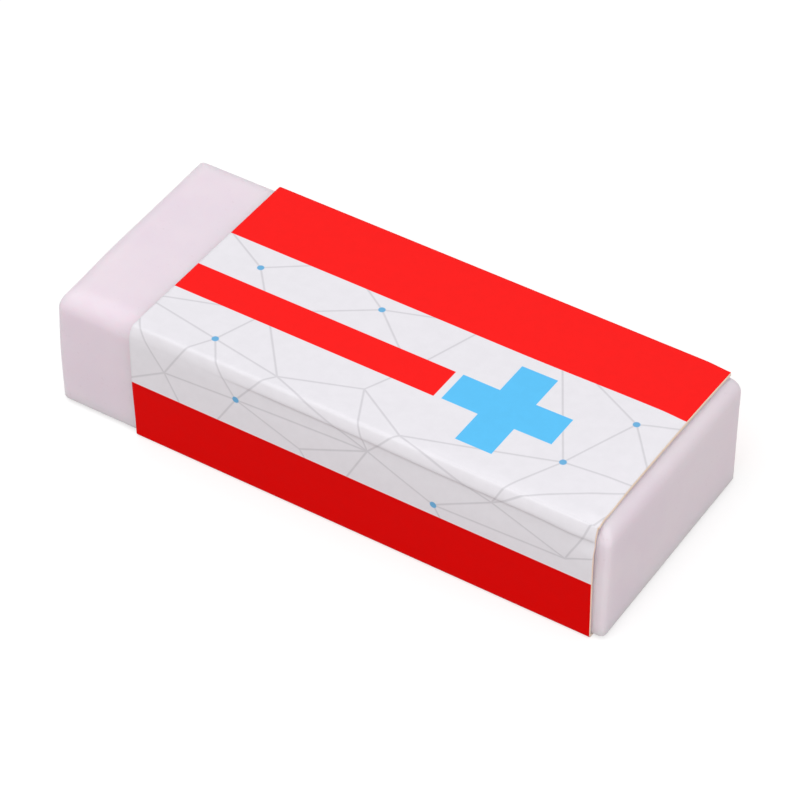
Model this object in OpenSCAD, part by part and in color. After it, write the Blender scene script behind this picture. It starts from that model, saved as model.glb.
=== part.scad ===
// Rubber block eraser in a folded card sleeve. Sizes are in millimetres.
// +X runs along the eraser and +Z is up. The origin is on the surface that the sleeve rests on,
// under the middle of the block's length and of the sleeve's width.

/* [Eraser block] */
// Length of the rubber block
block_l = 57; // [50:0.5:75]
// Width of the rubber block
block_w = 23.7; // [18:0.1:30]
// Height of the rubber block
block_h = 12.2; // [10:0.1:16]
// Radius of the top edges
block_r = 1.8; // [1:0.1:3]
// Radius of the upright corners
corner_r = 0.7; // [0.3:0.1:3]
// Radius of the edges round the underside
base_r = 0.3; // [0.1:0.05:0.8]

/* [Card sleeve] */
// Length of the sleeve
sleeve_l = 47; // [35:0.5:48]
// Length of block left bare at its -X end
bare_l = 9; // [1:0.5:15]
// Thickness of the card
card_t = 0.28; // [0.2:0.02:0.4]
// Inside radius of a fold in the card
fold_r = 0.15; // [0.1:0.05:0.4]
// Gap between the card and the block on every side
slide_fit = 0.08; // [0.04:0.02:0.2]
// Width of the strip between the two creases of the front top corner
shoulder_w = 1.05; // [0.8:0.05:2]
// Lean of that strip from upright, in degrees
shoulder_lean = 16; // [8:1:30]
// Slope of the bowed top panel where it meets its corners, in degrees
bow_slope = 2.25; // [0.5:0.25:4]
// Length of the glue flap behind the back panel
flap_l = 8; // [4:0.5:8]
// How much shorter the glue flap is at each end of its free edge
flap_taper = 1.5; // [0:0.25:4]
// How far the glued layers are pressed into each other
glue_bite = 0.01; // [0.005:0.005:0.05]
// Gap between the back panel's cut edge and the fold below it
seam_gap = 0.1; // [0:0.05:0.5]

/* [Print] */
// Width of the broad red band on the top, from the back face
broad_band_w = 9.15; // [4:0.05:11]
// White space between the two red bands
band_gap = 5.1; // [2:0.1:6]
// Width of the narrow red band and of the plus's bars
narrow_band_w = 3.6; // [2:0.1:4]
// White space between the narrow band and the plus
plus_gap = 1.6; // [0.5:0.1:3]
// White space between the plus and the sleeve's +X end
plus_edge = 8.15; // [2:0.05:10]
// Length of the plus's bars
plus_span = 10.9; // [6:0.1:12]
// Height of the red band on the front face
front_band_h = 6.4; // [2:0.1:8]

/* [Hidden] */

$fn = 96;
// Sides of the very large circle that bows the top panel
bow_fn = 2400;
// How far the print's zones reach past the card's faces
zone_reach = 1;

rubber_color = [0.93, 0.88, 0.92];
card_color = [0.95, 0.94, 0.96];
red_color = [0.93, 0.09, 0.08];
blue_color = [0.40, 0.77, 0.97];

// The card lies one thickness and the sliding gap away from the block, and the back side is double,
// because the glue flap lies between the back panel and the block.
sleeve_w = block_w + 2 * slide_fit + 3 * card_t - glue_bite;
flap_y = sleeve_w / 2 - card_t + glue_bite;
sleeve_x = bare_l - block_l / 2;
block_y = card_t + slide_fit + block_w / 2 - sleeve_w / 2;
block_z = card_t + slide_fit;

// Height of the printed face where the top panel meets its two corners
shoulder_z = block_h + 2 * (card_t + slide_fit);
fold_out_r = fold_r + card_t;
// What the front top corner takes up of the sleeve's width and height: its two creases and the strip
corner_w = fold_out_r * (1 - sin(bow_slope)) + shoulder_w * sin(shoulder_lean);
corner_h = fold_out_r * cos(bow_slope) + shoulder_w * cos(shoulder_lean);
crease_z = shoulder_z - corner_h;
top_fold = 90 - shoulder_lean - bow_slope;
// The back top corner is one wide bend that follows the block's rounded edge
bend_r = block_r + slide_fit;
bend_out_r = bend_r + card_t;
bend_w = bend_out_r * (1 - sin(bow_slope));
bend_z = shoulder_z - bend_out_r * cos(bow_slope);
underside_w = flap_y + sleeve_w / 2 - 2 * fold_out_r;
front_h = crease_z - fold_out_r;
back_h = bend_z - fold_out_r - seam_gap;
bow_r = (sleeve_w - corner_w - bend_w) / 2 / sin(bow_slope) - card_t;

// The card from its glue flap, under the block, up the front, over the top and down the back.
// Each step is a flat panel's width and the turn that follows it: its angle and inside radius.
CARD_STEPS = [
    [flap_l, 90, fold_r],
    [underside_w, 90, fold_r],
    [front_h, shoulder_lean, fold_r],
    [shoulder_w, top_fold, fold_r],
    [0, 2 * bow_slope, bow_r],
    [0, 90 - bow_slope, bend_r],
    [back_h, 0, fold_r],
];

// The narrow band runs from the sleeve's -X end to the plus, in line with the plus's long bar
narrow_band_l = sleeve_l - plus_edge - plus_span - plus_gap;
band_front_y = sleeve_w / 2 - broad_band_w - band_gap - narrow_band_w;
plus_x = sleeve_x + sleeve_l - plus_edge - plus_span / 2;
plus_y = band_front_y + narrow_band_w / 2;

// Two discs and what lies between them, centred, as wide as given
module disc_row(width, r) {
    square([width - 2 * r, 2 * r], center = true);
    for (side = [-1, 1]) translate([side * (width / 2 - r), 0]) circle(r);
}

// A rectangle that stands on the middle of its lower side. Its upper and lower corners are rounded.
module rounded_rect(width, height, upper_r, lower_r) {
    translate([-width / 2, lower_r]) square([width, height - upper_r - lower_r]);
    translate([0, height - upper_r]) disc_row(width, upper_r);
    translate([0, lower_r]) disc_row(width, lower_r);
}

// What the block's outline from above, its outline from the side and its outline from the end share
module eraser_block() {
    color(rubber_color) translate([0, block_y, block_z]) intersection() {
        translate([0, -block_w / 2, 0]) linear_extrude(block_h)
            rounded_rect(block_l, block_w, corner_r, corner_r);
        rotate([90, 0, 0]) linear_extrude(block_w, center = true)
            rounded_rect(block_l, block_h, block_r, base_r);
        rotate([90, 0, 90]) linear_extrude(block_l, center = true)
            rounded_rect(block_w, block_h, block_r, base_r);
    }
}

// A turn in the card to the right, seen along its section, and what follows it
module card_fold(turn, r) {
    out_r = r + card_t;
    // The bow's circle is far larger than a fold's
    sides = r > block_w ? bow_fn : $fn;
    // Corner of a square that encloses the outside circle
    far = out_r * sqrt(2);
    translate([0, -out_r]) {
        if (turn > 0) intersection() {
            difference() {
                circle(out_r, $fn = sides);
                circle(r, $fn = sides);
            }
            polygon([
                [0, 0],
                [0, far],
                far * sqrt(2) * [sin(turn / 2), cos(turn / 2)],
                far * [sin(turn), cos(turn)],
            ]);
        }
        rotate(-turn) translate([0, out_r]) children();
    }
}

// The card's section, laid end to end from the given step on, with the printed face on its left
module card_run(step = 0) {
    if (step < len(CARD_STEPS)) {
        width = CARD_STEPS[step][0];
        if (width > 0) translate([0, -card_t]) square([width, card_t]);
        translate([width, 0]) card_fold(CARD_STEPS[step][1], CARD_STEPS[step][2]) card_run(step + 1);
    }
}

// What the taper takes off the glue flap at one end: a wedge as thick as the card behind the back panel
module taper_wedge() {
    translate([0, sleeve_w / 2 - card_t, fold_out_r]) rotate([90, 0, 0]) linear_extrude(card_t)
        polygon([[0, 0], [flap_taper, flap_l], [flap_taper, flap_l + zone_reach], [-zone_reach, flap_l]]);
}

module folded_card() {
    translate([sleeve_x, 0, 0]) difference() {
        rotate([90, 0, 90]) linear_extrude(sleeve_l)
            translate([flap_y, fold_out_r + flap_l]) rotate(-90) card_run();
        taper_wedge();
        translate([sleeve_l, 0, 0]) mirror([1, 0, 0]) taper_wedge();
    }
}

// Part of the top panel, from its corner at the smallest x and y. It reaches down to the back bend's foot.
module top_zone(x, y, length, width) {
    translate([x, y, bend_z]) cube([length, width, shoulder_z - bend_z + zone_reach]);
}

// The broad band and the back face, the narrow band and the front band
module red_zones() {
    zone_l = sleeve_l + 2 * zone_reach;
    translate([sleeve_x - zone_reach, 0, 0]) {
        top_zone(0, sleeve_w / 2 - broad_band_w, zone_l, broad_band_w + zone_reach);
        translate([0, sleeve_w / 2 - card_t, 0]) cube([zone_l, card_t + zone_reach, bend_z]);
        top_zone(0, band_front_y, narrow_band_l + zone_reach, narrow_band_w);
        translate([0, -sleeve_w / 2 - zone_reach, 0]) cube([zone_l, fold_out_r + zone_reach, front_band_h]);
    }
}

module blue_zones() {
    for (bar = [[plus_span, narrow_band_w], [narrow_band_w, plus_span]])
        top_zone(plus_x - bar.x / 2, plus_y - bar.y / 2, bar.x, bar.y);
}

module card_sleeve() {
    color(card_color) difference() {
        folded_card();
        red_zones();
        blue_zones();
    }
    color(red_color) intersection() {
        folded_card();
        red_zones();
    }
    color(blue_color) intersection() {
        folded_card();
        blue_zones();
    }
}

eraser_block();
card_sleeve();
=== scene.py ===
"""Rubber block eraser in a printed card sleeve: the looks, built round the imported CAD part."""

import math

import bmesh
import bpy
from mathutils import Matrix, Vector, noise


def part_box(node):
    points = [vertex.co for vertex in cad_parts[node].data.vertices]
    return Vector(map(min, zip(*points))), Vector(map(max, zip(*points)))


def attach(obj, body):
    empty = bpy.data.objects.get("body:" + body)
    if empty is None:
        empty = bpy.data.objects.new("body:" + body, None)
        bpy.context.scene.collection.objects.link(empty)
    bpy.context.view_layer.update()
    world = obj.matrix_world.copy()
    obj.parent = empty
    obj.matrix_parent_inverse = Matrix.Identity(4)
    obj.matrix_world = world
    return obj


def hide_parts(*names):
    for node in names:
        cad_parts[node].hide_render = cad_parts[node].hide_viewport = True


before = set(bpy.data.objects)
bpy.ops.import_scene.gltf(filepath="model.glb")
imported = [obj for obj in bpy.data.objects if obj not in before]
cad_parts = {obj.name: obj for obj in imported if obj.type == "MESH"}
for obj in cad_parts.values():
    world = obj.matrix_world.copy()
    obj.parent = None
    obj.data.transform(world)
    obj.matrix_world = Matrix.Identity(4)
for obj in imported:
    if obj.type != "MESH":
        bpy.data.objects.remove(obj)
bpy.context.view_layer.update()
MM = 0.001

# Sizes that the CAD part gives, in millimetres
BLOCK_LOW, BLOCK_HIGH = (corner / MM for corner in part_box("eraser_block"))
SLEEVE_LOW, SLEEVE_HIGH = (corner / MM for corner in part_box("card_sleeve"))
BLOCK_SIZE = BLOCK_HIGH - BLOCK_LOW
BLOCK_CENTRE = (BLOCK_HIGH + BLOCK_LOW) / 2
SLEEVE_HALF_W = SLEEVE_HIGH.y
SHOULDER_Z = BLOCK_HIGH.z + BLOCK_LOW.z

# Sizes that the CAD part is built from, in millimetres and degrees
CARD_T = 0.28
FOLD_R = 0.15
FOLD_OUT_R = FOLD_R + CARD_T
STRIP_W = 1.05
STRIP_LEAN = math.radians(16)
BOW_SLOPE = math.radians(2.25)
FLAP_L = 8.0
FLAP_TAPER = 1.5
GLUE_BITE = 0.01
FLAP_Y = SLEEVE_HALF_W - CARD_T + GLUE_BITE
SEAM_GAP = 0.1

# The back top corner is a fold, a leaning strip and a soft bend. The card past the fold is cut back
# at its ends, by the taper, which is reached over the run.
BACK_LEAN = math.radians(38)
BACK_STRIP_W = 1.0
BACK_BEND_R = 2.4
BACK_TAPER = 0.95
BACK_TAPER_RUN = 2.0

# The cut edges: their small round, how far the one at +X leans, and how far from an end its cuts reach
CUT_ROUND = 0.03
CUT_SLANT = 0.08
END_REACH = 9.0

# Along x, the lower crease turns from soft to sharp between these
CRISP_FROM, CRISP_TO = -12.0, -3.0

# Print, in millimetres
BROAD_BAND_W = 9.22
BAND_GAP = 5.08
NARROW_BAND_W = 3.68
PLUS_BAR_W = 3.62
PLUS_GAP = 0.72
PLUS_EDGE = 8.16
PLUS_SPAN = 10.98
# How much nearer to the back face the plus lies than the narrow band
PLUS_SHIFT = 0.05
FRONT_BAND_H = 6.45


def graded(count, fineness=1.0):
    """Shares of a length from 0 to 1, closer together towards both ends."""
    shares = []
    for i in range(count + 1):
        even = i / count
        eased = (1 - math.cos(math.pi * even)) / 2
        shares.append(even + (eased - even) * fineness)
    return shares


def fade(value, start, end):
    """0 before start, 1 after end and a smooth rise between them. End may be the smaller one."""
    share = min(1.0, max(0.0, (value - start) / (end - start)))
    return share * share * (3 - 2 * share)


def ridge(distance, width):
    """1 at distance 0, falling off like a bell over the width."""
    return math.exp(-((distance / width) ** 2))


# The card sleeve


class CardPath:
    """The card's section in (y, z), followed along its printed face. It turns to the right only."""

    def __init__(self, start, heading):
        self.place = Vector(start)
        self.heading = heading
        self.run = 0.0
        self.rows = []

    def outward(self):
        return Vector((-math.sin(self.heading), math.cos(self.heading)))

    def mark(self, part):
        self.rows.append(
            {"at": self.place.copy(), "out": self.outward(), "run": self.run, "part": part}
        )

    def straight(self, length, count, part):
        start, begun = self.place.copy(), self.run
        along = Vector((math.cos(self.heading), math.sin(self.heading)))
        for share in graded(count)[1:]:
            self.place = start + along * length * share
            self.run = begun + length * share
            self.mark(part)

    def turn(self, angle, inner_r, count, part, fineness=0.0):
        out_r = inner_r + CARD_T
        centre = self.place - self.outward() * out_r
        heading, begun = self.heading, self.run
        for share in graded(count, fineness)[1:]:
            self.heading = heading - angle * share
            self.place = centre + self.outward() * out_r
            self.run = begun + out_r * angle * share
            self.mark(part)


def corner_height():
    """From the sleeve's shoulder down to its lower crease."""
    return FOLD_OUT_R * math.cos(BOW_SLOPE) + STRIP_W * math.cos(STRIP_LEAN)


def card_path():
    """The section's rows, from the glue flap under the block, up the front, over and down the back."""
    top_fold = math.pi / 2 - STRIP_LEAN - BOW_SLOPE
    corner_w = FOLD_OUT_R * (1 - math.sin(BOW_SLOPE)) + STRIP_W * math.sin(STRIP_LEAN)
    crease_z = SHOULDER_Z - corner_height()
    back_fold = math.pi / 2 - BACK_LEAN - BOW_SLOPE
    back_out_r = BACK_BEND_R + CARD_T
    back_w = (
        FOLD_OUT_R * (math.cos(BACK_LEAN) - math.sin(BOW_SLOPE))
        + BACK_STRIP_W * math.sin(BACK_LEAN)
        + back_out_r * (1 - math.cos(BACK_LEAN))
    )
    back_h = (
        FOLD_OUT_R * (math.cos(BOW_SLOPE) - math.sin(BACK_LEAN))
        + BACK_STRIP_W * math.cos(BACK_LEAN)
        + back_out_r * math.sin(BACK_LEAN)
    )
    bow_r = (2 * SLEEVE_HALF_W - corner_w - back_w) / 2 / math.sin(BOW_SLOPE) - CARD_T

    path = CardPath((FLAP_Y, FOLD_OUT_R + FLAP_L), -math.pi / 2)
    path.mark("flap")
    path.straight(FLAP_L, 8, "flap")
    path.turn(math.pi / 2, FOLD_R, 8, "flap fold")
    path.straight(FLAP_Y + SLEEVE_HALF_W - 2 * FOLD_OUT_R, 22, "underside")
    path.turn(math.pi / 2, FOLD_R, 8, "front fold")
    path.straight(crease_z - FOLD_OUT_R, 36, "front")
    path.turn(STRIP_LEAN, FOLD_R, 4, "lower crease")
    path.straight(STRIP_W, 12, "strip")
    path.turn(top_fold, FOLD_R, 10, "upper crease")
    path.turn(2 * BOW_SLOPE, bow_r, 56, "top", 0.85)
    path.turn(back_fold, FOLD_R, 8, "back fold")
    path.straight(BACK_STRIP_W, 8, "back strip")
    path.turn(BACK_LEAN, BACK_BEND_R, 10, "back bend")
    path.straight(SHOULDER_Z - back_h - FOLD_OUT_R - SEAM_GAP, 22, "back")

    # The print's own coordinate along the section equals y at the middle of the top panel
    middle = min((r for r in path.rows if r["part"] == "top"), key=lambda r: abs(r["at"].x))
    for r in path.rows:
        r["v"] = r["run"] - middle["run"] + middle["at"].x
    return path.rows


PATH = card_path()


def v_at(part, share=0.5):
    """The print's coordinate at this share of a part of the section."""
    vs = [r["v"] for r in PATH if r["part"] == part]
    before = max(r["v"] for r in PATH if r["v"] < vs[0]) if vs[0] > PATH[0]["v"] else vs[0]
    return before + (vs[-1] - before) * share


UPPER_CREASE_V = v_at("upper crease")
LOWER_CREASE_V = v_at("lower crease")
BACK_FOLD_V = v_at("back fold")
FRONT_PARTS = ("front", "lower crease", "strip", "upper crease", "top")
BACK_PARTS = ("top", "back fold", "back strip", "back bend")


def eased_crease(distance, reach, depth):
    """What is taken off a crease so that it turns over the reach on both sides and not at once."""
    return -depth * max(0.0, 1 - abs(distance) / reach) ** 2


def crispness(x):
    """The lower crease is soft at -X and sharp over the rest of the sleeve."""
    return fade(x, CRISP_FROM, CRISP_TO)


def crease_step(x, row):
    """How far the printed face steps in under the lower crease, where the card is pressed."""
    if row["part"] not in FRONT_PARTS:
        return 0.0
    below = LOWER_CREASE_V - row["v"]
    return 0.08 * crispness(x) * fade(below, -0.13, 0.06) * fade(below, 3.2, 0.3)


def card_relief(x, row):
    """How far the card stands out of its CAD place, along its outward normal."""
    v, part = row["v"], row["part"]
    to_left = fade(x, 8.0, SLEEVE_LOW.x + 2)
    to_right = fade(x, -4.0, SLEEVE_HIGH.x - 6)
    at_end = fade(x, SLEEVE_HIGH.x - 2.6, SLEEVE_HIGH.x)
    at_start = fade(x, SLEEVE_LOW.x + 2.5, SLEEVE_LOW.x)
    crisp = crispness(x)
    relief = 0.0
    if part in FRONT_PARTS:
        # The strip between the creases bulges
        strip_share = min(1.0, max(0.0, (v - LOWER_CREASE_V) / (UPPER_CREASE_V - LOWER_CREASE_V)))
        relief += 0.055 * 4 * strip_share * (1 - strip_share)
        # The upper crease is a fine bead towards -X, droops at the end there, and turns slowly at +X
        relief += 0.035 * to_left * ridge(v - UPPER_CREASE_V, 0.16)
        relief -= 0.12 * at_start * ridge(v - UPPER_CREASE_V, 1.0)
        relief += to_right * eased_crease(v - UPPER_CREASE_V, 1.3, 0.16)
        # The lower crease is eased where it is soft
        relief += (1 - crisp) * eased_crease(v - LOWER_CREASE_V, 1.0, 0.045)
        # The strip, and the top panel beside it, droop at the +X end
        strip_low = LOWER_CREASE_V - 2.0
        relief -= 0.25 * at_end * fade(v, strip_low, LOWER_CREASE_V) * fade(v, -10.5, -11.5)
        relief -= 0.14 * at_end * ridge(v + 9.8, 2.0)
    if part == "top":
        # The top panel is bowed near +X only, and a little wavy
        relief -= (row["at"].y - SHOULDER_Z) * (1 - fade(x, 11.0, SLEEVE_HIGH.x - 2))
        relief += 0.012 * noise.noise(Vector((x / 9, v / 7, 5.3)))
    if part in BACK_PARTS:
        relief -= 0.12 * at_end * fade(v, -11.5, -9.0)
        relief -= 0.01 * fade(v, 7.5, 10.5)
    if part in ("front", "back"):
        middle = ridge((row["at"].y - SHOULDER_Z / 2) / 4.5, 1.0)
        relief += 0.03 * middle * noise.noise(Vector((x / 17, 3.1, row["at"].x)))
    return relief


def card_stations():
    """Places along the sleeve. The first and last two make the cut edges' small round."""
    low, high = SLEEVE_LOW.x + CUT_ROUND, SLEEVE_HIGH.x - CUT_ROUND
    middle = [low + (high - low) * share for share in graded(104, 0.55)]
    return [SLEEVE_LOW.x, *middle, SLEEVE_HIGH.x]


def end_cuts(row):
    """How far the card's ends lie inside the CAD's, at -X and at +X: its tapers and slight skew."""
    v, part = row["v"], row["part"]
    if part == "flap":
        share = (row["at"].y - FOLD_OUT_R) / FLAP_L
        return FLAP_TAPER * share, FLAP_TAPER * share
    taper = BACK_TAPER * min(1.0, max(0.0, (v - BACK_FOLD_V) / BACK_TAPER_RUN))
    up_front = fade(v, v_at("front", 0.0), v_at("front", 0.6))
    on_top = fade(v, LOWER_CREASE_V, UPPER_CREASE_V + 1.0)
    left = -0.18 * up_front * (1 - on_top) + 0.04 * on_top
    right = -0.06 * (1 - up_front) - 0.1 * on_top
    return left + taper, right + taper


def crease_drop(x, row):
    """How far the lower crease lies under its CAD place, as the strip widens towards +X."""
    if row["part"] not in FRONT_PARTS:
        return 0.0
    depth = 0.18 * fade(x, 2.0, 14.0) + 0.28 * fade(x, 21.0, SLEEVE_HIGH.x)
    above = fade(row["v"], UPPER_CREASE_V, LOWER_CREASE_V)
    return depth * above * fade(row["v"], LOWER_CREASE_V - 3.5, LOWER_CREASE_V)


def card_points(x, row, pull):
    """The card's printed and raw points at this place, in millimetres."""
    cut_left, cut_right = end_cuts(row)
    relief = card_relief(x, row)
    at = row["at"] - Vector((0, crease_drop(x, row)))
    x += cut_left * fade(x, SLEEVE_LOW.x + END_REACH, SLEEVE_LOW.x)
    x -= cut_right * fade(x, SLEEVE_HIGH.x - END_REACH, SLEEVE_HIGH.x)
    printed = at + row["out"] * (relief - pull - crease_step(x, row))
    raw = at + row["out"] * (relief - CARD_T + pull)
    on_top = fade(row["v"], LOWER_CREASE_V, UPPER_CREASE_V)
    slant = CUT_SLANT * (0.25 + 0.75 * on_top) * fade(x, SLEEVE_HIGH.x - 1.0, SLEEVE_HIGH.x)
    return (x - slant, printed.x, printed.y), (x, raw.x, raw.y)


# The numbers of the sleeve's materials
PRINTED, RAW, CUT = 0, 1, 2


def card_mesh():
    """The folded card as one closed mesh. Its faces carry the number of the material that they show."""
    bm = bmesh.new()
    print_at = bm.verts.layers.float_vector.new("print_at")
    stations = card_stations()
    printed, raw = [], []
    for i, x in enumerate(stations):
        pull = CUT_ROUND if i in (0, len(stations) - 1) else 0.0
        sides = ([], [])
        for row in PATH:
            for side, point in zip(sides, card_points(x, row, pull)):
                vert = bm.verts.new(Vector(point) * MM)
                vert[print_at] = (point[0], row["v"], 0)
                side.append(vert)
        printed.append(sides[0])
        raw.append(sides[1])

    def quad(a, b, c, d, material):
        face = bm.faces.new((a, b, c, d))
        face.material_index = material
        face.smooth = True

    last = len(PATH) - 1
    for i in range(len(stations) - 1):
        for j in range(last):
            outside = RAW if PATH[j + 1]["part"] == "flap" else PRINTED
            quad(printed[i][j], printed[i][j + 1], printed[i + 1][j + 1], printed[i + 1][j], outside)
            quad(raw[i][j + 1], raw[i][j], raw[i + 1][j], raw[i + 1][j + 1], RAW)
        quad(raw[i][0], printed[i][0], printed[i + 1][0], raw[i + 1][0], CUT)
        quad(printed[i][last], raw[i][last], raw[i + 1][last], printed[i + 1][last], CUT)
    for i, flip in ((0, False), (-1, True)):
        for j in range(last):
            loop = [printed[i][j], raw[i][j], raw[i][j + 1], printed[i][j + 1]]
            quad(*(reversed(loop) if flip else loop), CUT)
    bmesh.ops.recalc_face_normals(bm, faces=bm.faces)
    return bm


# The vinyl block


TOP_EDGE_R = 2.0
BASE_EDGE_R = 0.22
CORE_INSET = 2.8
# Upright corners as (side in x, side in y, radius), round from the front one at +X
CORNERS = ((1, -1, 0.55), (1, 1, 0.7), (-1, 1, 0.4), (-1, -1, 0.8))
SIDE_COUNTS = (20, 54, 20, 54)
CORNER_STEPS = 10
BASE_STEPS = 5
TOP_STEPS = 14
# noise_vector draws its offsets from the random seed, which is set from the clock unless it is given
WAVE_SEED = 1


def outline(inset, corner_share):
    """The block's outline from above, drawn in by the inset, with its corners' radii times the share."""
    centres = []
    for side_x, side_y, corner_r in CORNERS:
        away = inset + corner_r * corner_share
        centre_x = side_x * (BLOCK_SIZE.x / 2 - away)
        centres.append(Vector((centre_x, side_y * (BLOCK_SIZE.y / 2 - away))))
    arcs = []
    for k in range(4):
        arcs.append([])
        for i in range(CORNER_STEPS + 1):
            angle = math.radians(90) * (k - 1 + i / CORNER_STEPS)
            radius = CORNERS[k][2] * corner_share
            arcs[k].append(centres[k] + Vector((math.cos(angle), math.sin(angle))) * radius)
    points = []
    for k in range(4):
        points += arcs[k]
        start, end = arcs[k][-1], arcs[(k + 1) % 4][0]
        points += [start.lerp(end, i / SIDE_COUNTS[k]) for i in range(1, SIDE_COUNTS[k])]
    return points


def block_rings():
    """(inset, share of the corners' radii, height) of each ring, from the underside to the top."""
    rings = [(CORE_INSET, 0.0, 0.0), (CORE_INSET / 2, 0.5, 0.0)]
    for i in range(BASE_STEPS + 1):
        angle = math.radians(90) * i / BASE_STEPS
        share = 1 - math.sin(angle)
        rings.append((BASE_EDGE_R * share, 1 - 0.3 * share, BASE_EDGE_R * (1 - math.cos(angle))))
    side_low, side_high = BASE_EDGE_R, BLOCK_SIZE.z - TOP_EDGE_R
    for share in graded(14, 0.5)[1:-1]:
        rings.append((0.0, 1.0, side_low + (side_high - side_low) * share))
    for i in range(TOP_STEPS + 1):
        angle = math.radians(90) * i / TOP_STEPS
        share = 1 - math.cos(angle)
        rings.append((TOP_EDGE_R * share, 1 - 0.35 * share, side_high + TOP_EDGE_R * math.sin(angle)))
    rings.append((CORE_INSET, 0.0, BLOCK_SIZE.z))
    return rings


def block_relief(point):
    """How far a point of the block lies from its CAD place: skewed ends and slow waves."""
    x, y, z = point
    half_l, half_w = BLOCK_SIZE.x / 2, BLOCK_SIZE.y / 2
    left_end = fade(x, -half_l + 8, -half_l)
    right_end = fade(x, half_l - 8, half_l)
    height = 2 * z / BLOCK_SIZE.z - 1
    front_corner = fade(y, -2.0, -11.0) * (0.11 + 0.11 * height**2)
    shift_x = left_end * (-0.03 - 0.25 * y / half_w + front_corner)
    shift_x += right_end * (0.14 - 0.15 * y / half_w + 0.05 * height)
    wave = noise.noise_vector(Vector((x / 11, y / 9, z / 8))) * 0.03
    # The front leans in a little before it turns into the top edge
    lean = 0.2 * fade(y, -6.0, -11.5) * fade(z, 4.0, 11.5)
    return Vector((shift_x + wave.x, lean + wave.y, wave.z * fade(z, 0.2, 2.0)))


def block_mesh():
    """The moulded block as one closed mesh."""
    bm = bmesh.new()
    rings = []
    for inset, corner_share, height in block_rings():
        rings.append([bm.verts.new((p.x, p.y, height)) for p in outline(inset, corner_share)])
    for low, high in zip(rings, rings[1:]):
        for i in range(len(low)):
            j = (i + 1) % len(low)
            bm.faces.new((low[i], low[j], high[j], high[i]))
    core_x, core_y = BLOCK_SIZE.x / 2 - CORE_INSET, BLOCK_SIZE.y / 2 - CORE_INSET
    rows, columns = SIDE_COUNTS[:2]
    for height, flip in ((0.0, True), (BLOCK_SIZE.z, False)):
        grid = [
            [
                bm.verts.new((core_x * (2 * i / columns - 1), core_y * (2 * j / rows - 1), height))
                for j in range(rows + 1)
            ]
            for i in range(columns + 1)
        ]
        for i in range(columns):
            for j in range(rows):
                loop = [grid[i][j], grid[i + 1][j], grid[i + 1][j + 1], grid[i][j + 1]]
                bm.faces.new(reversed(loop) if flip else loop)
    bmesh.ops.remove_doubles(bm, verts=bm.verts, dist=1e-4)
    bmesh.ops.dissolve_degenerate(bm, edges=bm.edges, dist=1e-5)
    noise.seed_set(WAVE_SEED)
    for vert in bm.verts:
        vert.co += block_relief(vert.co)
    base = Vector((BLOCK_CENTRE.x, BLOCK_CENTRE.y, BLOCK_LOW.z))
    bmesh.ops.transform(bm, matrix=Matrix.Scale(MM, 4) @ Matrix.Translation(base), verts=bm.verts)
    for face in bm.faces:
        face.smooth = True
    bmesh.ops.recalc_face_normals(bm, faces=bm.faces)
    return bm


def add_piece(name, bm, materials):
    mesh = bpy.data.meshes.new(name)
    bm.to_mesh(mesh)
    bm.free()
    for material in materials:
        mesh.materials.append(material)
    piece = bpy.data.objects.new(name, mesh)
    bpy.context.scene.collection.objects.link(piece)
    return piece


# Materials


class Tree:
    """A short way to write a node tree. Sockets take numbers, tuples or other nodes' outputs."""

    def __init__(self, tree):
        self.tree = tree

    def add(self, kind, settings=None, **inputs):
        node = self.tree.nodes.new("ShaderNode" + kind)
        for name, value in (settings or {}).items():
            setattr(node, name, value)
        for name, value in inputs.items():
            self.put(node.inputs[name.replace("_", " ")], value)
        return node

    def put(self, socket, value):
        if isinstance(value, bpy.types.NodeSocket):
            self.tree.links.new(value, socket)
        else:
            socket.default_value = value

    def math(self, operation, a, b=0.0, clamp=False):
        node = self.add("Math", {"operation": operation, "use_clamp": clamp})
        self.put(node.inputs[0], a)
        self.put(node.inputs[1], b)
        return node.outputs[0]

    def vector(self, operation, a, b=(0, 0, 0)):
        node = self.add("VectorMath", {"operation": operation})
        self.put(node.inputs[0], a)
        self.put(node.inputs[1], b)
        return node.outputs["Value" if operation in ("DISTANCE", "DOT_PRODUCT") else "Vector"]

    def smooth(self, value, low, high, to_low=0.0, to_high=1.0):
        node = self.add("MapRange", {"interpolation_type": "SMOOTHSTEP"})
        for name, number in zip(
            ("Value", "From Min", "From Max", "To Min", "To Max"), (value, low, high, to_low, to_high)
        ):
            self.put(node.inputs[name], number)
        return node.outputs["Result"]

    def near(self, value, target, low, high):
        """1 where the value is within low of the target, falling to 0 at high."""
        off = self.math("ABSOLUTE", self.math("SUBTRACT", value, target))
        return self.smooth(off, low, high, 1.0, 0.0)

    def noise(self, at, scale, detail=2.0, roughness=0.5):
        node = self.add("TexNoise", {"noise_dimensions": "3D"}, Vector=at, Scale=scale)
        node.inputs["Detail"].default_value = detail
        node.inputs["Roughness"].default_value = roughness
        return node.outputs["Fac"]

    def mix(self, factor, a, b):
        """A mix of two colours. Inputs 6 and 7 and output 2 are the node's sockets for colours."""
        node = self.add("Mix", {"data_type": "RGBA"})
        self.put(node.inputs["Factor"], factor)
        self.put(node.inputs[6], a)
        self.put(node.inputs[7], b)
        return node.outputs[2]

    def bump(self, height, strength, distance, normal=None):
        node = self.add("Bump", Height=height, Strength=strength, Distance=distance)
        if normal is not None:
            self.put(node.inputs["Normal"], normal)
        return node.outputs["Normal"]


def colour(r, g, b):
    """A shader colour from 0 to 255 screen values."""

    def linear(value):
        value /= 255
        return value / 12.92 if value <= 0.04045 else ((value + 0.055) / 1.055) ** 2.4

    return (linear(r), linear(g), linear(b), 1.0)


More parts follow.
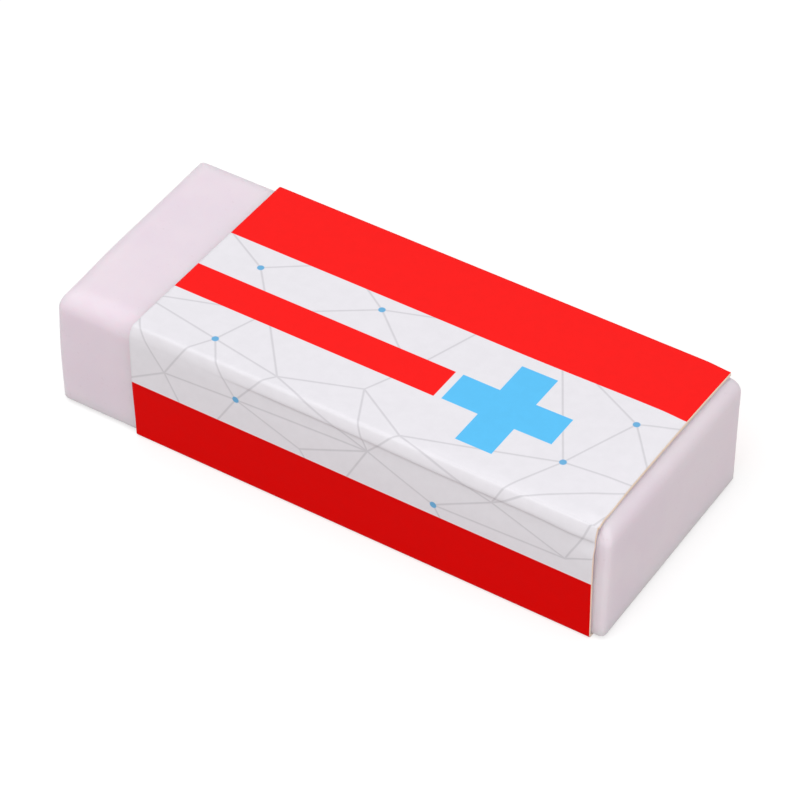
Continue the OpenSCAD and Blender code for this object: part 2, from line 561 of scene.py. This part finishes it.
def new_material(name):
    """A new material, its tree and its Principled shader."""
    material = bpy.data.materials.new(name)
    material.use_nodes = True
    tree = Tree(material.node_tree)
    shader = material.node_tree.nodes["Principled BSDF"]
    return material, tree, shader


def stroke_group():
    """A node group that gives the distance from a point to a straight stroke."""
    group = bpy.data.node_groups.new("stroke_distance", "ShaderNodeTree")
    for name in ("At", "Start", "Along"):
        group.interface.new_socket(name, in_out="INPUT", socket_type="NodeSocketVector")
    group.interface.new_socket("Length", in_out="INPUT", socket_type="NodeSocketFloat")
    group.interface.new_socket("Distance", in_out="OUTPUT", socket_type="NodeSocketFloat")
    tree = Tree(group)
    given = group.nodes.new("NodeGroupInput").outputs
    away = tree.vector("SUBTRACT", given["At"], given["Start"])
    reach = tree.vector("DOT_PRODUCT", away, given["Along"])
    held = tree.add("Clamp", Value=reach, Min=0.0, Max=given["Length"]).outputs[0]
    scaled = tree.add("VectorMath", {"operation": "SCALE"})
    tree.put(scaled.inputs[0], given["Along"])
    tree.put(scaled.inputs["Scale"], held)
    result = group.nodes.new("NodeGroupOutput")
    tree.put(result.inputs[0], tree.vector("DISTANCE", away, scaled.outputs[0]))
    return group


# A generic web of thin lines: its hubs in the print's coordinates, and the pairs that it joins.
# Hubs outside the card or under a red band only give the lines somewhere to run to.
HUBS = {
    "a": (-21.5, 4.4),
    "b": (-14.4, 0.5),
    "c": (-8.0, 5.2),
    "d": (-2.2, 1.5),
    "e": (4.1, -3.9),
    "f": (7.0, 4.8),
    "g": (13.8, 5.6),
    "h": (24.2, 0.4),
    "i": (29.5, 2.9),
    "j": (-10.4, -4.2),
    "k": (-21.5, -8.1),
    "l": (-12.3, -9.6),
    "m": (-5.0, -10.8),
    "n": (2.2, -8.1),
    "o": (7.9, -11.4),
    "p": (21.3, -6.9),
    "q": (29.5, -6.0),
    "r": (-16.0, -15.6),
    "s": (-8.4, -15.1),
    "t": (-1.8, -17.6),
    "u": (5.2, -14.4),
    "v": (11.9, -17.2),
    "w": (17.6, -13.9),
    "x": (24.9, -16.7),
    "y": (29.5, -14.2),
    "z": (-21.5, -19.0),
    "A": (-12.6, -22.0),
    "B": (1.2, -22.0),
    "C": (15.0, -22.4),
}
STROKES = (
    "ab bc bj cd de dj df ef fg gh hi hp hq gp en jl jk kl lm mj mn no ow op pq pw "
    "kr lr ls ms nu ou mu rz rA rs sA st su tB tu uv vw vC wx xy xq uB vx wq"
).split()
DOTS = "bdhpsvl"
DOT_R = 0.33
STROKE_W = 0.18
# The underside shows the web turned round: a point there shows what lies at this one minus its own
UNDER_AT = (6.5, -41.0)


def web_distance(tree, at):
    """Distance from a point of the print to the nearest stroke of the web."""
    group = stroke_group()
    nearest = None
    for a, b in STROKES:
        start, end = Vector((*HUBS[a], 0)), Vector((*HUBS[b], 0))
        node = tree.tree.nodes.new("ShaderNodeGroup")
        node.node_tree = group
        tree.put(node.inputs["At"], at)
        node.inputs["Start"].default_value = start
        node.inputs["Along"].default_value = (end - start).normalized()
        node.inputs["Length"].default_value = (end - start).length
        distance = node.outputs["Distance"]
        nearest = distance if nearest is None else tree.math("MINIMUM", nearest, distance)
    return nearest


def dot_distance(tree, at):
    nearest = None
    for name in DOTS:
        distance = tree.vector("DISTANCE", at, (*HUBS[name], 0))
        nearest = distance if nearest is None else tree.math("MINIMUM", nearest, distance)
    return nearest


INK_EDGE = 0.03


def inside_box(tree, u, v, centre, size):
    """1 inside a rectangle of the print and 0 outside, with the ink's soft edge."""
    past = []
    for value, middle, length in zip((u, v), centre, size):
        away = tree.math("ABSOLUTE", tree.math("SUBTRACT", value, middle))
        past.append(tree.math("SUBTRACT", away, length / 2))
    return tree.smooth(tree.math("MAXIMUM", *past), -INK_EDGE, INK_EDGE, 1.0, 0.0)


def red_print(tree, u, v):
    """Where the red ink lies: on the broad band, the back and the narrow band, and on the front band."""
    broad_v = SLEEVE_HALF_W - BROAD_BAND_W
    broad = tree.smooth(v, broad_v - INK_EDGE, broad_v + INK_EDGE)
    narrow_end = SLEEVE_HIGH.x - PLUS_EDGE - PLUS_SPAN - PLUS_GAP
    reach = SLEEVE_LOW.x - 5
    narrow_v = broad_v - BAND_GAP - NARROW_BAND_W / 2
    narrow = inside_box(
        tree, u, v, ((narrow_end + reach) / 2, narrow_v), (narrow_end - reach, NARROW_BAND_W)
    )
    front_top = v_at("front", 1.0) - (SHOULDER_Z - corner_height() - FRONT_BAND_H)
    front_low = v_at("front fold", 0.0)
    front = inside_box(
        tree, u, v, (0.0, (front_top + front_low) / 2), (200.0, front_top - front_low)
    )
    return tree.math("MAXIMUM", broad, narrow), front


def blue_plus(tree, u, v):
    centre = (
        SLEEVE_HIGH.x - PLUS_EDGE - PLUS_SPAN / 2,
        SLEEVE_HALF_W - BROAD_BAND_W - BAND_GAP - PLUS_BAR_W / 2 + PLUS_SHIFT,
    )
    along = inside_box(tree, u, v, centre, (PLUS_SPAN, PLUS_BAR_W))
    across = inside_box(tree, u, v, centre, (PLUS_BAR_W, PLUS_SPAN))
    return tree.math("MAXIMUM", along, across)


PAPER = colour(233, 231, 237)
LINE_INK = colour(213, 211, 217)
DOT_INK = colour(112, 178, 222)
PLUS_INK = colour(96, 195, 248)
# Painted shade for the line along the lower crease
CREASE_SHADE = colour(194, 190, 196)
RED_INK = colour(251, 32, 31)
# The front band's red: the top's red ink, painted darker as shade on the front face
FRONT_RED_INK_PAINTED_SHADE = colour(226, 2, 1)
RAW_DARK = colour(218, 206, 196)
RAW_PALE = colour(236, 227, 219)
RAW_FLECK = colour(160, 143, 130)
CUT_DARK = colour(243, 214, 192)
CUT_PALE = colour(252, 236, 220)
VINYL_DARK = colour(230, 217, 228)
VINYL_PALE = colour(233, 221, 230)
VINYL_SPECK = colour(208, 190, 198)


def printed_card():
    """Coated white card with its print, a satin varnish and ink cracked along the folded edge, with
    painted shade: a darker line along the lower crease and a darker red on the front face.
    """
    material, tree, shader = new_material("printed_card")
    at = tree.add("Attribute", {"attribute_name": "print_at"}).outputs["Vector"]
    place = tree.add("TexCoord").outputs["Object"]
    split = tree.add("SeparateXYZ", Vector=at)
    u, v = split.outputs["X"], split.outputs["Y"]
    under_u = tree.math("SUBTRACT", UNDER_AT[0], u)
    under_v = tree.math("SUBTRACT", UNDER_AT[1], v)
    under_at = tree.add("CombineXYZ", X=under_u, Y=under_v).outputs[0]
    on_underside = tree.math("LESS_THAN", v, v_at("front fold"))
    chosen = tree.add("Mix", {"data_type": "VECTOR"})
    tree.put(chosen.inputs["Factor"], on_underside)
    tree.put(chosen.inputs[4], at)
    tree.put(chosen.inputs[5], under_at)
    web_at = chosen.outputs[1]

    mottle = tree.noise(place, 900.0, 4.0, 0.6)
    shade = tree.smooth(mottle, 0.3, 0.7, 0.985, 1.01)
    half = STROKE_W / 2
    lines = tree.smooth(web_distance(tree, web_at), half - 0.06, half + 0.06, 1.0, 0.0)
    dots = tree.smooth(dot_distance(tree, web_at), DOT_R - 0.05, DOT_R + 0.05, 1.0, 0.0)
    made = tree.mix(lines, PAPER, LINE_INK)
    made = tree.mix(dots, made, DOT_INK)
    made = tree.mix(blue_plus(tree, u, v), made, PLUS_INK)
    # Painted shade along the lower crease: a darker line, which fades out towards -X
    near_crease = tree.near(v, LOWER_CREASE_V + 0.05, 0.05, 0.4)
    crease_shade_mask = tree.math("MULTIPLY", near_crease, tree.smooth(u, CRISP_FROM, CRISP_TO))
    made = tree.mix(tree.math("MULTIPLY", crease_shade_mask, 0.3), made, CREASE_SHADE)
    top_red, front_red = red_print(tree, u, v)
    made = tree.mix(top_red, made, RED_INK)
    # The front band takes the red that holds painted shade
    made = tree.mix(front_red, made, FRONT_RED_INK_PAINTED_SHADE)

    # Fine cracks in the ink where the card turns under the front
    near_fold = tree.near(v, v_at("front fold", 0.4), 0.0, 0.28)
    grains = tree.noise(place, 5200.0, 3.0, 0.7)
    cracked = tree.math("MULTIPLY", near_fold, tree.smooth(grains, 0.56, 0.66), clamp=True)
    made = tree.mix(tree.math("MULTIPLY", cracked, 0.3), made, PAPER)
    shaded = tree.add("VectorMath", {"operation": "SCALE"})
    tree.put(shaded.inputs[0], made)
    tree.put(shaded.inputs["Scale"], shade)
    tree.put(shader.inputs["Base Color"], shaded.outputs[0])

    tree.put(shader.inputs["Roughness"], tree.smooth(mottle, 0.3, 0.7, 0.42, 0.5))
    shader.inputs["Specular IOR Level"].default_value = 0.03
    fibre = tree.noise(tree.vector("MULTIPLY", place, (0.4, 1.0, 1.0)), 9000.0, 3.0, 0.6)
    peel = tree.noise(place, 1400.0, 1.0)
    normal = tree.bump(fibre, 0.12, 0.00002)
    tree.put(shader.inputs["Normal"], tree.bump(peel, 0.15, 0.00006, normal))
    return material


def raw_card():
    """The card's unprinted inner side: grey-cream board with fibres and darker flecks."""
    material, tree, shader = new_material("raw_card")
    place = tree.add("TexCoord").outputs["Object"]
    fibre = tree.noise(tree.vector("MULTIPLY", place, (0.25, 1.0, 1.0)), 5200.0, 5.0, 0.65)
    fleck = tree.smooth(tree.noise(place, 2600.0, 2.0, 0.5), 0.66, 0.74)
    board = tree.mix(tree.smooth(fibre, 0.3, 0.7), RAW_DARK, RAW_PALE)
    board = tree.mix(tree.math("MULTIPLY", fleck, 0.4), board, RAW_FLECK)
    tree.put(shader.inputs["Base Color"], board)
    tree.put(shader.inputs["Roughness"], tree.smooth(fibre, 0.3, 0.7, 0.8, 0.92))
    shader.inputs["Specular IOR Level"].default_value = 0.25
    tree.put(shader.inputs["Normal"], tree.bump(fibre, 0.5, 0.00003))
    return material


def cut_card():
    """The card's cut edge: cream fibres in layers."""
    material, tree, shader = new_material("cut_card")
    place = tree.add("TexCoord").outputs["Object"]
    layers = tree.noise(place, 14000.0, 3.0, 0.7)
    edge = tree.mix(tree.smooth(layers, 0.35, 0.65), CUT_DARK, CUT_PALE)
    tree.put(shader.inputs["Base Color"], edge)
    tree.put(shader.inputs["Roughness"], tree.smooth(layers, 0.3, 0.7, 0.82, 0.95))
    shader.inputs["Specular IOR Level"].default_value = 0.2
    tree.put(shader.inputs["Normal"], tree.bump(layers, 0.6, 0.00003))
    return material


def vinyl():
    """Soft off-white vinyl: satin, slightly see-into, with a fine moulded grain."""
    material, tree, shader = new_material("vinyl")
    place = tree.add("TexCoord").outputs["Object"]
    cloud = tree.noise(place, 120.0, 3.0, 0.55)
    grain = tree.noise(place, 4200.0, 3.0, 0.6)
    speck = tree.smooth(tree.noise(place, 2300.0, 1.0), 0.70, 0.76)
    body = tree.mix(tree.smooth(cloud, 0.35, 0.65), VINYL_DARK, VINYL_PALE)
    body = tree.mix(tree.math("MULTIPLY", speck, 0.15), body, VINYL_SPECK)
    tree.put(shader.inputs["Base Color"], body)
    tree.put(shader.inputs["Roughness"], tree.smooth(grain, 0.3, 0.7, 0.5, 0.62))
    shader.inputs["Specular IOR Level"].default_value = 0.2
    shader.inputs["Subsurface Weight"].default_value = 0.7
    shader.inputs["Subsurface Radius"].default_value = (1.0, 0.72, 0.8)
    shader.inputs["Subsurface Scale"].default_value = 0.0028
    swell = tree.noise(place, 260.0, 1.0)
    normal = tree.bump(grain, 0.2, 0.00003)
    tree.put(shader.inputs["Normal"], tree.bump(swell, 0.12, 0.0004, normal))
    return material


# The setting


def shown_rays(tree):
    """1 for the rays that see the white surroundings: camera, glossy and transmission rays."""
    path = tree.add("LightPath").outputs
    seen = tree.math("ADD", path["Is Camera Ray"], path["Is Glossy Ray"])
    return tree.math("ADD", seen, path["Is Transmission Ray"], clamp=True)


FLOOR_BOUNCE = colour(186, 183, 182)
FLOOR_SEEN = colour(172, 172, 172)
FLOOR_GLOW = 0.65


def floor_material():
    """White to the camera, with the object's shadow, and pale grey in the light that it gives back."""
    material, tree, shader = new_material("floor")
    material.node_tree.nodes.remove(shader)
    bounce = tree.add("BsdfDiffuse", Color=FLOOR_BOUNCE).outputs[0]
    paint = tree.add("BsdfDiffuse", Color=FLOOR_SEEN).outputs[0]
    glow = tree.add("Emission", Color=(1, 1, 1, 1), Strength=FLOOR_GLOW).outputs[0]
    seen = tree.add("AddShader")
    tree.put(seen.inputs[0], paint)
    tree.put(seen.inputs[1], glow)
    both = tree.add("MixShader")
    tree.put(both.inputs[0], shown_rays(tree))
    tree.put(both.inputs[1], bounce)
    tree.put(both.inputs[2], seen.outputs[0])
    tree.put(material.node_tree.nodes["Material Output"].inputs["Surface"], both.outputs[0])
    return material


def add_floor():
    bm = bmesh.new()
    bmesh.ops.create_grid(bm, x_segments=4, y_segments=4, size=3.0)
    floor = add_piece("floor", bm, [floor_material()])


WORLD_LIGHT = (0.555, 0.55, 0.54, 1.0)
# Name, azimuth, elevation, distance, size, power and tint
LAMPS = (
    ("overhead", -20, 72, 0.7, 0.5, 2.05, (0.97, 0.98, 1.0)),
    ("front", 10, 25, 0.8, 0.5, 1.12, (1.0, 0.97, 0.94)),
    ("right", 80, 25, 0.8, 0.5, 1.15, (1.0, 0.98, 0.96)),
)


def set_world():
    world = bpy.data.worlds.new("studio")
    world.use_nodes = True
    bpy.context.scene.world = world
    tree = Tree(world.node_tree)
    lit = world.node_tree.nodes["Background"]
    lit.inputs["Color"].default_value = WORLD_LIGHT
    white = tree.add("Background", Color=(1, 1, 1, 1), Strength=1.0).outputs[0]
    both = tree.add("MixShader")
    tree.put(both.inputs[0], shown_rays(tree))
    tree.put(both.inputs[1], lit.outputs[0])
    tree.put(both.inputs[2], white)
    tree.put(world.node_tree.nodes["World Output"].inputs["Surface"], both.outputs[0])


def add_lamp(name, azimuth, elevation, distance, size, power, tint):
    """A square soft lamp that looks at the object from this side."""
    light = bpy.data.lights.new(name, "AREA")
    light.size = size
    light.energy = power
    light.color = tint
    lamp = bpy.data.objects.new(name, light)
    bpy.context.scene.collection.objects.link(lamp)
    a, e = math.radians(azimuth), math.radians(elevation)
    back = Vector((math.sin(a) * math.cos(e), -math.cos(a) * math.cos(e), math.sin(e)))
    lamp.location = back * distance
    lamp.rotation_mode = "QUATERNION"
    lamp.rotation_quaternion = back.to_track_quat("Z", "Y")


CAMERA_PLACE = Vector((0.132041, -0.205165, 0.223946))
CAMERA_AZIMUTH = math.radians(32.636)
CAMERA_ELEVATION = math.radians(41.973)
CAMERA_ROLL = math.radians(0.063)
CAMERA_LENS = 166.23
SENSOR_W = 36.0


def add_camera():
    """The photograph's camera, from a pinhole fit to the sleeve's corners and long edges."""
    data = bpy.data.cameras.new("camera")
    data.sensor_width = SENSOR_W
    data.lens = CAMERA_LENS
    data.clip_start = 0.01
    data.clip_end = 20.0
    camera = bpy.data.objects.new("camera", data)
    bpy.context.scene.collection.objects.link(camera)
    turn = Matrix.Rotation(CAMERA_AZIMUTH, 4, "Z")
    tilt = Matrix.Rotation(math.pi / 2 - CAMERA_ELEVATION, 4, "X")
    roll = Matrix.Rotation(CAMERA_ROLL, 4, "Z")
    camera.matrix_world = Matrix.Translation(CAMERA_PLACE) @ turn @ tilt @ roll
    bpy.context.scene.camera = camera


# Putting it together

block = add_piece("vinyl_block", block_mesh(), [vinyl()])
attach(block, "block")
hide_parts("eraser_block")

sleeve = add_piece("folded_sleeve", card_mesh(), [printed_card(), raw_card(), cut_card()])
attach(sleeve, "sleeve")
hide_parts("card_sleeve")

add_floor()
set_world()
for settings in LAMPS:
    add_lamp(*settings)
add_camera()
bpy.context.scene.view_settings.view_transform = "Standard"
